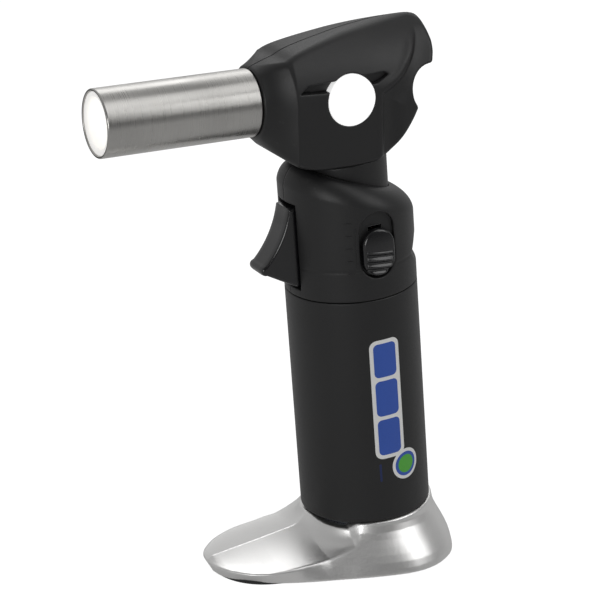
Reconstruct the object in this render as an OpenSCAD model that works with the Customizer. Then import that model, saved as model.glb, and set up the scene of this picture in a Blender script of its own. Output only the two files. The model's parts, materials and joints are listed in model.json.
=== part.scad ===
// Hand-held butane torch: leaning round body on a foot, head with a horizontal burner barrel.
// Millimetres. The origin is on the floor, under the point where the body's axis starts.
// +Z is up, the barrel points to -X and the safety slide is on the -Y side.

/* [Body] */
// Outer radius of the body
body_r = 20; // [19.5:0.5:20.5]
// Forward lean of the body, in degrees
lean = 4; // [3:0.5:5]
// Height of the foot's rim along the body axis, from the body's datum
rim_h = 13.4; // [13:0.2:13.8]
// Height of the seam between sleeve and grip along the body axis, from the datum
seam_h = 85.5; // [85:0.5:87]
// Height of the sloping shoulder on the body axis, from the datum
shoulder_h = 119.3; // [119:0.1:119.6]
// Slope of the shoulder, in degrees
shoulder_slope = 20; // [19:0.5:21]

/* [Burner] */
// Outer radius of the flame tube
barrel_r = 10; // [9.8:0.1:10]
// Height of the flame tube's axis above the body's datum
barrel_z = 144.5; // [144:0.5:145]
// Distance from the origin to the flame tube's mouth
barrel_reach = 86.8; // [84:0.2:90]

/* [Head] */
// Half of the head's thickness
head_half = 14; // [14:0.1:14.4]
// Radius of the round hole through the head
hole_r = 7.1; // [6.8:0.1:7.3]

/* [Controls] */
// Half of the trigger's width
trigger_half = 4.7; // [4.5:0.1:4.8]
// Radius of the flame adjusting wheel
wheel_r = 7.1; // [6.9:0.1:7.2]

/* [Foot] */
// Radius of the heel's outline
heel_r = 28.5; // [28:0.5:29]
// Radius of the toe's outline
toe_r = 19.5; // [19:0.5:20]
// Distance from the origin to the toe outline's centre
toe_reach = 36; // [35:0.5:37]

/* [Hidden] */
$fn = 64;
big = 400;
gap = 0.1;

// Height of the body's datum above the floor
datum = 2;

// Walls
wall = 2.2;
inner_r = body_r - wall;
tank_r = inner_r + gap;

// Tank and its lid, along the body axis
tank_low = 5;
tank_high = 84;
tank_wall = 1.4;
lid_top = 87.5;
valve_u = 11.5;
valve_r = 3;
fill_u = 9;
fill_r = 3.4;

// Trigger linkage, in the body's plane of symmetry
hinge_u = -15;
hinge_s = 110.5;
lever_u = -0.5;
lever_s = 105;
piezo_s = 90.85;
stem_top = 103.5;

// Grip
slot_low = 88;
slot_high = 114.6;
slide_s = 100.2;
recess_s = 102.4;
recess_half = 10.2;
button_half = 7.3;
vee_s = 95.1;
vee_r = 18.1;
vee_turn = 48;
wheel_notches = 28;

// Foot
heel_x = -1.75;
sole_z = 0.3;
rim_out = 0.6;
toe_low = 3.8;
toe_slope = 3.3;

// Head and barrel
ring_x = -39;
face_x = -30;
bore_end = -31;
hole_x = -12.7;
hole_z = barrel_z + 0.6;
notch_x = 15.8;
notch_z = 144.6;
notch_r = 7.2;
arc_x = -15.9;
arc_z = 155.8;
arc_r = 31.6;
neck_r = 13;
spigot_r = neck_r - 1.8;
tube_bore = barrel_r - 0.8;
root_r = barrel_r - 0.5;
root_bore = root_r - 0.6;
root_len = 8.3;
spark_offset = 5.4;
head_bolts = [[6, 158.5], [1.5, 136.6], [-26, 156.4]];
body_bolts = [[15.3, 105.6], [-8, 98]];

// Coil spring of the filling valve
spring_turns = 4;
spring_steps = 16 * spring_turns;
spring_low = 6.2;
spring_high = 11.7;

// ---------- frames and shared shapes ----------

// Lifts the body and head from the datum to their height above the floor
module raised() translate([0, 0, datum]) children();

// The body's own frame: Z along the leaning axis
module on_body() rotate([0, -lean, 0]) children();

// The burner's frame: Z runs forward along the flame tube's axis
module on_barrel(x) translate([x, 0, barrel_z]) rotate([0, -90, 0]) children();

// Lays a drawing of (x, z) points in the XZ plane, from y0 to y1
module side_slab(y0, y1) translate([0, y1, 0]) rotate([90, 0, 0])
    linear_extrude(y1 - y0) children();

module tube(r_out, r_in, h) difference() {
    cylinder(r = r_out, h = h);
    translate([0, 0, -1]) cylinder(r = r_in, h = h + 2);
}

// One half space, on the side of Y that sign gives
module half_space(sign) translate([-big / 2, sign > 0 ? 0 : -big, -big / 2]) cube(big);

function mix(a, b, t) = a + (b - a) * t;

// Catmull-Rom curve through the points, with n steps to a span
function spline_at(p, i, t) =
    let (a = p[max(i - 1, 0)], b = p[i], c = p[i + 1], d = p[min(i + 2, len(p) - 1)])
    0.5 * ((2 * b) + (c - a) * t + (2 * a - 5 * b + 4 * c - d) * t * t
        + (3 * b - a - 3 * c + d) * t * t * t);
function spline(p, n) = concat(
    [for (i = [0 : len(p) - 2]) for (k = [0 : n - 1]) spline_at(p, i, k / n)], [p[len(p) - 1]]);
function unit(v) = v / norm(v);
function heading(p, i) = unit(p[min(i + 1, len(p) - 1)] - p[max(i - 1, 0)]);

// Round bar of radius r swept along the path, with its rings square to the path
module sweep(path, r, sides, across) {
    n = len(path);
    step = 360 / sides;
    rings = [for (i = [0 : n - 1])
        let (dir = heading(path, i), a = unit(cross(dir, across)), b = cross(dir, a))
        for (k = [0 : sides - 1]) path[i] + r * (cos(step * k) * a + sin(step * k) * b)];
    walls = [for (i = [0 : n - 2]) for (k = [0 : sides - 1])
        let (here = i * sides, next = here + sides, m = (k + 1) % sides)
        [here + k, next + k, next + m, here + m]];
    start = [[for (k = [0 : sides - 1]) k]];
    end = [[for (k = [sides - 1 : -1 : 0]) (n - 1) * sides + k]];
    polyhedron(points = rings, faces = concat(start, walls, end), convexity = 6);
}

// ---------- head ----------

// Side view of the head, drawn inwards by g
module head_side(g) difference() {
    intersection() {
        union() {
            translate([arc_x, arc_z]) circle(r = arc_r - g, $fn = 96);
            translate([-60, 150 + g]) square([80, 30]);
        }
        polygon([[ring_x, 120], [ring_x, 155 - g], [-31.5, 157.6 - g], [-28, 159.1 - g], [-16.7, 162.1 - g],
            [-4.2, 164.4 - g], [6.6, 165.7 - g], [12.6 - g, 166 - g], [15.6 - g, 164.2 - g],
            [17.1 - g, 159.4], [17.1 - g, 120]]);
    }
    translate([notch_x, notch_z]) circle(r = notch_r + g);
}

// Plan view of the head: narrow at the nose, widest at the hole, tapering to the rear
module head_plan(g) {
    h = head_half - g;
    polygon([[ring_x, -11.2], [face_x, -h], [-4, -h], [24, 3.5 - h],
        [24, h - 3.5], [-4, h], [face_x, h], [ring_x, 11.2]]);
}

// View along the barrel: pointed arch above the barrel's axis, straight sides below
module head_section(g) {
    arch_r = 25 - g;
    arch_y = 25 - head_half;
    intersection() {
        translate([arch_y, barrel_z]) circle(r = arch_r, $fn = 96);
        translate([-arch_y, barrel_z]) circle(r = arch_r, $fn = 96);
    }
    intersection() {
        translate([g - head_half, 120]) square([2 * (head_half - g), barrel_z - 120]);
        translate([0, 142]) circle(r = 21.5 - g, $fn = 96);
    }
}

module head_solid(g) intersection() {
    side_slab(-30, 30) head_side(g);
    translate([0, 0, 100]) linear_extrude(80) head_plan(g);
    translate([-60, 0, 0]) rotate([90, 0, 90]) linear_extrude(100) head_section(g);
}

// Air slot beside the hole, drawn in the side view
module air_slot() polygon([[-29, 148.8], [-26.6, 150.8], [-2, 151.9], [-0.6, 151.2],
    [-4, 149.2], [-21, 148]]);

// Round bar along Y through the head, at the hole
module through_head(r) translate([hole_x, 0, hole_z]) rotate([90, 0, 0])
    cylinder(r = r, h = 60, center = true);

module head_shell(sign) difference() {
    union() {
        difference() {
            head_solid(0);
            // Cavity behind the nose
            intersection() {
                head_solid(wall);
                translate([bore_end, -big / 2, 0]) cube(big);
            }
        }
        intersection() {
            head_solid(0.5);
            // Screw bosses
            for (b = head_bolts) translate([b[0], 0, b[1]]) rotate([90, 0, 0])
                cylinder(r = 2.6, h = 40, center = true);
        }
    }
    half_space(-sign);
    // Seat for the flame tube
    on_barrel(bore_end) translate([0, 0, -1]) cylinder(r = root_r, h = 12);
    // Seat for the hole's sleeve
    through_head(hole_r + 1);
    // Passage for the neck
    on_body() translate([0, 0, 100]) cylinder(r = spigot_r, h = 29);
    // Air slots: open ahead of the hole, a shallow recess behind it
    side_slab(sign > 0 ? 12.6 : -20, sign > 0 ? 20 : -12.6) air_slot();
    intersection() {
        side_slab(sign > 0 ? 9 : -20, sign > 0 ? 20 : -9) air_slot();
        translate([-29, -big / 2, 0]) cube([6.5, big, big]);
    }
    // Screw holes, with room for the heads on the +Y side
    for (b = head_bolts) translate([b[0], 0, b[1]]) rotate([-90, 0, 0]) {
        translate([0, 0, -6]) cylinder(r = 1.1, h = 12);
        translate([0, 0, 5]) cylinder(r = 2, h = 20);
    }
}

module head_shell_left() color("#1b1b1c") head_shell(-1);
module head_shell_right() color("#1b1b1c") head_shell(1);

// A pan-head screw pointing to -Y, its head's seat at y = seat
module side_screw(seat, length) rotate([-90, 0, 0]) {
    difference() {
        translate([0, 0, seat]) cylinder(r = 1.8, h = 1.4);
        translate([0, 0, seat + 0.7]) cylinder(r = 0.8, h = 2, $fn = 6);
    }
    translate([0, 0, seat - length]) cylinder(r = 1.1, h = length);
}

module head_screws() color("#8d8f92")
    for (b = head_bolts) translate([b[0], 0, b[1]]) side_screw(5, 10.5);

module hole_liner() color("#f4f4f2") difference() {
    intersection() {
        head_solid(-0.15);
        through_head(hole_r + 1);
    }
    through_head(hole_r);
}

module neck_collar() color("#202021") difference() {
    union() {
        // Visible neck, cut to the head's underside
        difference() {
            on_body() translate([0, 0, 114.2]) cylinder(r = neck_r, h = 21);
            head_solid(0);
        }
        // Spigot that runs from the grip into the head
        on_body() translate([0, 0, 108]) cylinder(r = spigot_r, h = 21);
        // Lugs under the shoulder
        on_body() translate([-4, -15.4, 113.1]) cube([8, 30.8, 1.5]);
    }
    on_body() translate([0, 0, 100]) cylinder(r = neck_r - 4, h = 40);
}

// ---------- barrel ----------

module barrel_tube() color("#b9bbbd") on_barrel(bore_end) rotate_extrude($fn = 96) {
    reach = barrel_reach + bore_end;
    polygon([[root_bore, 0], [root_r, 0], [root_r, root_len], [barrel_r, root_len],
        [barrel_r, reach - 1.9], [barrel_r - 0.2, reach - 0.6], [barrel_r - 0.6, reach],
        [tube_bore, reach], [tube_bore, root_len + 0.8], [root_bore, root_len + 0.8]]);
}

module ceramic_liner() color("#f1efe8") on_barrel(-60)
    tube(tube_bore - 0.05, 7.4, barrel_reach - 60.3);

module flame_holder() color("#ded8c8") on_barrel(-68) difference() {
    cylinder(r = 7.35, h = 6);
    translate([0, 0, -1]) cylinder(r = 1.4, h = 8);
    for (i = [0 : 7]) rotate([0, 0, 45 * i + 22.5]) translate([3, 0, -1]) cylinder(r = 0.6, h = 8);
    // Passage for the spark electrode
    translate([spark_offset, 0, -1]) cylinder(r = 0.8, h = 8);
}

module mixing_tube() color("#c9a959") on_barrel(-33) difference() {
    union() {
        cylinder(r = 3.2, h = 27);
        translate([0, 0, 27]) cylinder(r = 4.4, h = 7.9);
    }
    translate([0, 0, -1]) cylinder(r = 2.4, h = 28);
    translate([0, 0, 28]) cylinder(r = 3.6, h = 10);
    // Air holes
    for (i = [0 : 3]) rotate([0, 0, 90 * i + 45]) translate([0, 0, 7]) rotate([0, 90, 0])
        cylinder(r = 1.1, h = 5);
}

module burner_base() color("#a98f52") difference() {
    union() {
        on_barrel(bore_end) cylinder(r = root_bore - 0.05, h = 4);
        on_barrel(-29.6) cylinder(r = 10.3, h = 1.4);
        on_barrel(-23) cylinder(r = 7.4, h = 7);
        // Hose nipple
        translate([-26, 0, barrel_z - 9]) cylinder(r = 0.9, h = 3);
    }
    // Socket for the mixing tube
    on_barrel(-33) cylinder(r = 3.2, h = 4);
    // Thread for the jet and the gas passage
    on_barrel(-28) cylinder(r = 1.5, h = 8);
    translate([-26, 0, barrel_z - 10]) cylinder(r = 0.5, h = 11);
    // Passage for the insulator
    on_barrel(-22) translate([spark_offset, 0, 0]) cylinder(r = 1.3, h = 20);
}

module gas_jet() color("#d3b35c") on_barrel(-29) difference() {
    union() {
        cylinder(r = 1.5, h = 4);
        translate([0, 0, 4]) cylinder(r = 2.1, h = 1.6, $fn = 6);
    }
    translate([0, 0, -1]) cylinder(r = 0.3, h = 8);
}

module electrode_insulator() color("#ece7da") on_barrel(-22.5) translate([spark_offset, 0, 0])
    tube(1.3, 0.6, 37.2);

module electrode_tip() color("#9a9c9e") on_barrel(-22.5) translate([spark_offset, 0, 0]) {
    cylinder(r = 0.6, h = 53);
    translate([0, 0, 52.4]) rotate([0, -90, 0]) cylinder(r = 0.6, h = 2.6);
}

// Moves a point of the body's frame to the torch's frame
function from_body(p) = [p[0] * cos(lean) - p[2] * sin(lean), p[1],
    p[0] * sin(lean) + p[2] * cos(lean)];

hose_path = [from_body([valve_u, 6, 99]), from_body([valve_u, 7, 99]),
    from_body([9, 9.5, 102.5]), from_body([5.2, 5.2, 106.5]), from_body([3.6, 4.2, 111]),
    from_body([2, 3.5, 118]), [-9.5, 3, 124], [-12, 2.6, 128.5], [-17, 1.6, 131.4],
    [-23, 0.6, 131.6], [-25.9, 0.1, 133.2], [-26, 0, barrel_z - 9.15]];
wire_path = [from_body([2.4, 3.8, piezo_s]), from_body([2.4, 6.4, piezo_s]),
    from_body([1.8, 9, 94]), from_body([-1, 10.5, 99]), from_body([-3.5, 8.5, 104]),
    from_body([-4.5, 5, 110]), from_body([-5, -1, 117]), [-13.5, -4.5, 123], [-14.5, -6, 128],
    [-18, -7.4, 132.5], [-21.8, -9.4, 138], [-22, -8.8, 145], [-20.4, -4.4, 151.2],
    [-19.4, -1.4, 153.2], [-19.8, -0.2, 150.9], [-21, 0, barrel_z + spark_offset],
    [-22.35, 0, barrel_z + spark_offset]];

module gas_hose() color("#d9d4c4") sweep(spline(hose_path, 5), 1.4, 10, [0.3, 0.9, 0.2]);
module ignition_wire() color("#a63a2c") sweep(spline(wire_path, 4), 0.7, 8, [0.8, 0.2, 0.1]);

// ---------- grip ----------

// Space under the shoulder's sloping top, lowered by g
module under_shoulder(g) translate([0, 0, shoulder_h - g]) rotate([0, shoulder_slope, 0])
    translate([-big / 2, -big / 2, -big]) cube(big);

// The grip's outer form, drawn inwards by g
module grip_solid(g) intersection() {
    translate([0, 0, seam_h - g]) cylinder(r = body_r - g, h = 60, $fn = 96);
    under_shoulder(g);
    // Bevel round the shoulder
    translate([0, 0, shoulder_h]) rotate([0, shoulder_slope, 0])
        translate([-2, 0, -60 - g]) cylinder(r1 = 76.4 - g / 2, r2 = 17.4 - g / 2, h = 60, $fn = 96);
}

module stadium(half_w, half_h) {
    square([2 * half_w, 2 * (half_h - half_w)], center = true);
    for (k = [-1, 1]) translate([0, k * (half_h - half_w)]) circle(r = half_w, $fn = 48);
}

// A drawing in the side view, at height s on the body axis, from y0 to y1
module side_boss(u, s, y0, y1) translate([u, y1, s]) rotate([90, 0, 0])
    linear_extrude(y1 - y0) children();

// Ring section (r, s) turned round the rear of the grip, by half_turn degrees each way
module rear_ring(half_turn) rotate([0, 0, -half_turn])
    rotate_extrude(angle = 2 * half_turn, $fn = 96) children();

module body_shell(sign) on_body() difference() {
    union() {
        difference() {
            grip_solid(0);
            grip_solid(wall);
        }
        intersection() {
            grip_solid(0.4);
            union() {
                // Ribs for the trigger's pin
                translate([hinge_u - 3, sign > 0 ? 5.5 : -7.5, hinge_s - 3]) cube([5.2, 2, 6]);
                // Screw bosses
                for (b = body_bolts) side_boss(b[0], b[1], -19, 19) circle(r = 2.2);
                // Wall behind the thumb notch
                rear_ring(vee_turn + 4) translate([vee_r - 1.9, vee_s - 6]) square([2, 12]);
                // Thick wall behind the slide's recess
                if (sign < 0) side_boss(0, recess_s, -19.4, -15.8) square([15, 24], center = true);
            }
        }
    }
    half_space(-sign);
    // Opening for the neck and its spigot
    translate([0, 0, 114]) cylinder(r = neck_r + 0.05, h = 30);
    translate([0, 0, 107]) cylinder(r = spigot_r + 0.05, h = 20);
    // Trigger slot
    translate([-30, -trigger_half - 0.5, slot_low])
        cube([18, 2 * trigger_half + 1, slot_high - slot_low]);
    // Trigger pin
    side_boss(hinge_u, hinge_s, -7, 7) circle(r = 1);
    // Recess and slot for the safety slide
    if (sign < 0) {
        side_boss(0, recess_s, -30, -18) stadium(5.7, recess_half);
        side_boss(0, recess_s, -30, -10) square([4.4, 11.2], center = true);
    }
    // Thumb notch for the flame wheel, round the rear
    rear_ring(vee_turn) polygon([[vee_r, vee_s], [body_r + 1, vee_s + 6.3], [body_r + 1, vee_s - 5.6]]);
    translate([valve_u, 0, vee_s - 2.05]) cylinder(r = wheel_r + 0.4, h = 4.1);
    // Screw holes, with room for the heads on the +Y side
    for (b = body_bolts) translate([b[0], 0, b[1]]) rotate([-90, 0, 0]) {
        translate([0, 0, -6]) cylinder(r = 1.1, h = 12);
        translate([0, 0, 5]) cylinder(r = 2, h = 20);
    }
    // Shadow groove at the seam
    translate([0, 0, seam_h - 0.01]) tube(body_r + 1, body_r - 0.5, 0.31);
}

module body_shell_left() color("#1b1b1c") body_shell(-1);
module body_shell_right() color("#1b1b1c") body_shell(1);

module body_screws() color("#8d8f92") on_body()
    for (b = body_bolts) translate([b[0], 0, b[1]]) side_screw(5, 10.5);

// ---------- trigger, igniter and gas lever ----------

// Side view of the trigger: hollow front, sloping underside, nose for the gas lever
module trigger_side() {
    difference() {
        polygon([[-21, 113.4], [-18, 113.9], [-13.2, 112.6], [-13.2, 108.4], [-15.6, 107.2],
            [-15.6, 89.6], [-19.8, 88.9], [-29.8, 94.9], [-30.6, 96.2], [-30.2, 97.4]]);
        translate([-50.2, 119.3]) circle(r = 30, $fn = 96);
    }
    // Tip
    translate([-29.4, 96.1]) circle(r = 1.35);
}

module trigger() color("#0e0e0f") on_body() difference() {
    union() {
        side_boss(0, 0, -trigger_half, trigger_half) trigger_side();
        // Knuckle
        side_boss(hinge_u, hinge_s, -trigger_half, trigger_half) circle(r = 2.2);
        // Arm under the gas lever
        side_boss(0, 0, -1.8, 1.8) polygon([[-15.8, 107.4], [-13.3, 109], [-12.5, 104.1],
            [-12.2, 103.7], [-10.3, 103.75], [-10.3, 102.3], [-12.6, 102.2], [-14.2, 103.4]]);
        side_boss(-10.3, 103.02, -1.8, 1.8) circle(r = 0.73);
        // Nose that presses the igniter
        side_boss(0, 0, -2.4, 2.4)
            polygon([[-16, 89.65], [-16, 92.2], [-14, 92.05], [-14, 89.65]]);
        side_boss(-14, piezo_s, -2.4, 2.4) circle(r = 1.2);
    }
    side_boss(hinge_u, hinge_s, -10, 10) circle(r = 1.06);
}

module trigger_pin() color("#b5b7b9") on_body() side_boss(hinge_u, hinge_s, -7, 7) circle(r = 1);

module piezo_body() color("#2b2b2e") on_body() translate([0, 0, piezo_s]) difference() {
    translate([-8.3, -3.6, -2.25]) cube([15.3, 7.2, 4.5]);
    translate([-9, -2.55, -1.45]) cube([9.6, 5.1, 2.9]);
}

module piezo_plunger() color("#3d4a86") on_body()
    translate([-12.75, -2.5, piezo_s - 1.4]) cube([8.9, 5, 2.8]);

module gas_lever() color("#9fa2a5") on_body() difference() {
    union() {
        side_boss(0, 0, -2, 2) polygon([[-10.4, 104], [-2.4, 104], [-2.4, 103.4], [1.4, 103.4],
            [1.4, 104.4], [12.6, 104.4], [12.6, 105.8], [2, 106.6], [-3, 106.6], [-10.4, 105.5]]);
        // Nose over the valve stem
        side_boss(valve_u, stem_top + 1, -1.6, 1.6) circle(r = 0.95);
    }
    side_boss(lever_u, lever_s, -10, 10) circle(r = 1.05);
}

module lever_pin() color("#b5b7b9") on_body() side_boss(lever_u, lever_s, -3.9, 3.9) circle(r = 1);

module lever_bracket() color("#c8cacc") on_body() difference() {
    union() {
        for (y = [-3.9, 2.7]) translate([lever_u - 1.6, y, 93.6]) cube([3.2, 1.2, 13]);
        for (y = [-4.9, 3.7]) translate([lever_u - 1.6, y, lid_top]) cube([3.2, 1.2, 7.3]);
        translate([lever_u - 1.6, -4.9, lid_top]) cube([3.2, 9.8, 0.9]);
    }
    side_boss(lever_u, lever_s, -10, 10) circle(r = 1);
}

// ---------- gas valve and flame wheel ----------

module valve_body() color("#c9a959") on_body() translate([valve_u, 0, 0]) difference() {
    union() {
        translate([0, 0, 80]) cylinder(r = valve_r, h = 21);
        // Hose nipple
        translate([0, 2, 99]) rotate([-90, 0, 0]) cylinder(r = 0.9, h = 3.5);
    }
    // Stem bore, seal groove and gas passages
    translate([0, 0, 93]) cylinder(r = 1.25, h = 9);
    translate([0, 0, 96.6]) cylinder(r = 2.1, h = 1.4);
    translate([0, 0, 79]) cylinder(r = 0.6, h = 16);
    translate([0, 0, 99]) rotate([-90, 0, 0]) cylinder(r = 0.5, h = 6);
}

module valve_stem() color("#e0c878") on_body() translate([valve_u, 0, 0]) {
    translate([0, 0, 95]) cylinder(r = 1.2, h = stem_top - 95);
    translate([0, 0, stem_top - 0.9]) cylinder(r = 1.6, h = 0.9);
}

module valve_seal() color("#2a2a2a") on_body() translate([valve_u, 0, 96.65]) tube(2.05, 1.22, 1.3);

module flame_wheel() color("#161617") on_body() translate([valve_u, 0, vee_s - 1.8]) difference() {
    cylinder(r = wheel_r, h = 3.6);
    translate([0, 0, -1]) cylinder(r = valve_r + 0.06, h = 6);
    // Finger notches
    for (i = [0 : wheel_notches - 1]) rotate([0, 0, 360 / wheel_notches * i])
        translate([wheel_r + 0.2, 0, -1]) cylinder(r = 0.6, h = 6);
}

// ---------- safety slide ----------

module lock_button() color("#0e0e0f") on_body() {
    difference() {
        intersection() {
            side_boss(0, slide_s, -24, -18.05) stadium(5.15, button_half);
            // Crowned outer face
            translate([0, 0, slide_s - 10]) cylinder(r = body_r + 1.3, h = 20, $fn = 96);
        }
        // Grooves between the grip ridges
        for (i = [0 : 3]) translate([-8, -body_r - 2.2, slide_s - 5.8 + 2.1 * i])
            rotate([-8, 0, 0]) cube([16, 1.8, 0.9]);
    }
    side_boss(0, slide_s, -18.1, -14.4) square([3.6, 5.6], center = true);
}

module lock_plate() color("#4a4a4d") on_body() side_boss(0, slide_s, -15.7, -14.4) difference() {
    square([9, 11], center = true);
    square([3.6, 5.6], center = true);
}

// ---------- tank ----------

module lower_sleeve() color("#1d1d1e") on_body() difference() {
    translate([0, 0, rim_h]) cylinder(r = body_r, h = seam_h - rim_h, $fn = 96);
    translate([0, 0, rim_h - 1]) cylinder(r = tank_r + gap, h = 90, $fn = 96);
}

module fuel_tank() color("#3a3d42") on_body() difference() {
    translate([0, 0, tank_low]) cylinder(r = tank_r, h = tank_high - tank_low, $fn = 96);
    difference() {
        translate([0, 0, tank_low + 3]) cylinder(r = tank_r - tank_wall, h = 90, $fn = 96);
        for (y = [-9, 9]) translate([-8, y, 0]) cylinder(r = 3, h = 12);
    }
    translate([fill_u, 0, 0]) cylinder(r = fill_r, h = 20);
    for (y = [-9, 9]) translate([-8, y, 0]) cylinder(r = 1.1, h = 10.5);
}

module tank_lid() color("#45484e") on_body() difference() {
    union() {
        translate([0, 0, 79.5]) cylinder(r = tank_r - tank_wall - 0.05, h = 5, $fn = 96);
        translate([0, 0, tank_high]) cylinder(r = inner_r - 0.1, h = lid_top - tank_high, $fn = 96);
    }
    translate([0, 0, 81]) tube(30, 14.9, 1.7);
    translate([valve_u, 0, 70]) cylinder(r = valve_r, h = 30);
}

module tank_seal() color("#2a2a2a") on_body()
    translate([0, 0, 81.05]) tube(tank_r - tank_wall, 14.95, 1.6);

module wick_tube() color("#efe9d8") on_body() translate([valve_u, 0, 14]) tube(1.8, 0.9, 66);

// ---------- filling valve ----------

module fill_valve_body() color("#c9a959") on_body() translate([fill_u, 0, 0]) difference() {
    union() {
        translate([0, 0, 3.4]) cylinder(r = fill_r, h = 9.6);
        translate([0, 0, 8]) cylinder(r = 4.6, h = 1.4, $fn = 6);
    }
    translate([0, 0, 2]) cylinder(r = 1.15, h = 5);
    translate([0, 0, 4.6]) cylinder(r = 2.2, h = 7.4);
    translate([0, 0, 11]) cylinder(r = 0.6, h = 4);
}

module fill_valve_stem() color("#dcdee0") on_body() translate([fill_u, 0, 0]) {
    translate([0, 0, 2.6]) cylinder(r = 1.1, h = 6.6);
    translate([0, 0, 5]) cylinder(r = 2.1, h = 0.9);
}

// Coil spring between the stem's collar and the valve's top
spring_path = [for (i = [0 : spring_steps]) let (a = 360 * spring_turns * i / spring_steps)
    from_body([fill_u + 1.7 * cos(a), 1.7 * sin(a), mix(spring_low, spring_high, i / spring_steps)])];
module fill_valve_spring() color("#b8babc") sweep(spring_path, 0.25, 8, [0, 0, 1]);

// ---------- foot ----------

// Points along an arc, from angle a0 to a1 in n steps
function arc(x, r, a0, a1, n) = [for (i = [0 : n])
    let (a = mix(a0, a1, i / n)) [x + r * cos(a), r * sin(a)]];

// The foot's outline on the floor: heel arc, straight flanks and toe arc, drawn inwards by g
module foot_outline(g) {
    turn = acos((heel_r - toe_r) / (toe_reach + heel_x));
    polygon(concat(arc(heel_x, heel_r - g, turn - 180, 180 - turn, 44),
        arc(-toe_reach, toe_r - g, 180 - turn, 180 + turn, 32)));
}

// Flare from the rim down to the heel's outline
module foot_flare() hull() {
    raised() on_body() translate([0, 0, rim_h - 0.1]) cylinder(r = body_r + rim_out, h = 0.1);
    translate([heel_x, 0, sole_z]) cylinder(r = heel_r, h = 1.8);
}

// Front part of the foot's outline
module toe_outline(g) intersection() {
    foot_outline(g);
    translate([-70, -40]) square([60, 80]);
}

// Long low toe, drawn inwards by g: undercut sides, a raised crest round its edge and a soft ridge
module toe_solid(g) hull() {
    translate([0, 0, sole_z]) linear_extrude(0.4) toe_outline(g + 2.4);
    translate([-55, 0, toe_low - g]) rotate([0, -toe_slope, 0]) translate([55, 0, 0])
        linear_extrude(0.4) toe_outline(g);
    side_slab(-0.5, 0.5) translate([0, -g])
        polygon([[-54.2, 4.4], [-53.5, 5.8], [-38.5, 8.1], [-23.8, 10.7], [-12, 12], [-12, 4.4]]);
}

module base_foot() color("#c4c3c0") difference() {
    intersection() {
        union() {
            foot_flare();
            toe_solid(0);
        }
        translate([0, 0, sole_z]) linear_extrude(30) foot_outline(0);
    }
    // Pocket for the tank
    raised() on_body() translate([0, 0, tank_low]) cylinder(r = tank_r + gap, h = 30, $fn = 96);
    // Hollow under the toe
    intersection() {
        toe_solid(1.9);
        linear_extrude(12) difference() {
            foot_outline(3);
            circle(r = 24);
        }
    }
    // Recess for the pad
    linear_extrude(1.2) foot_outline(3.2);
    // Way in to the filling valve, and the screw holes
    raised() on_body() translate([fill_u, 0, -5]) cylinder(r = 5.4, h = 20);
    for (y = [-9, 9]) raised() on_body() translate([-8, y, -5]) {
        cylinder(r = 1.2, h = 20);
        cylinder(r = 2.7, h = 8);
    }
}

module base_pad() color("#29292a") difference() {
    linear_extrude(1.2) foot_outline(3.3);
    raised() on_body() translate([fill_u, 0, -5]) cylinder(r = 5.4, h = 20);
    for (y = [-9, 9]) raised() on_body() translate([-8, y, -5]) cylinder(r = 2.7, h = 20);
}

module base_screws() color("#9b9da0") on_body() for (y = [-9, 9]) translate([-8, y, 0]) {
    difference() {
        translate([0, 0, 1.7]) cylinder(r = 2.3, h = 1.3);
        translate([0, 0, 0.9]) cylinder(r = 1, h = 1.5, $fn = 6);
    }
    translate([0, 0, 3]) cylinder(r = 1.1, h = 7);
}

raised() head_shell_left();
raised() head_shell_right();
raised() head_screws();
raised() hole_liner();
raised() neck_collar();
raised() barrel_tube();
raised() ceramic_liner();
raised() flame_holder();
raised() mixing_tube();
raised() burner_base();
raised() gas_jet();
raised() electrode_insulator();
raised() electrode_tip();
raised() gas_hose();
raised() ignition_wire();
raised() body_shell_left();
raised() body_shell_right();
raised() body_screws();
raised() trigger();
raised() trigger_pin();
raised() piezo_body();
raised() piezo_plunger();
raised() gas_lever();
raised() lever_pin();
raised() lever_bracket();
raised() valve_body();
raised() valve_stem();
raised() valve_seal();
raised() flame_wheel();
raised() lock_button();
raised() lock_plate();
raised() lower_sleeve();
raised() fuel_tank();
raised() tank_lid();
raised() tank_seal();
raised() wick_tube();
raised() fill_valve_body();
raised() fill_valve_stem();
raised() fill_valve_spring();
base_foot();
base_pad();
raised() base_screws();
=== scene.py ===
import json
import math
import bpy
import numpy as np
from mathutils import Matrix, Vector


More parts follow.
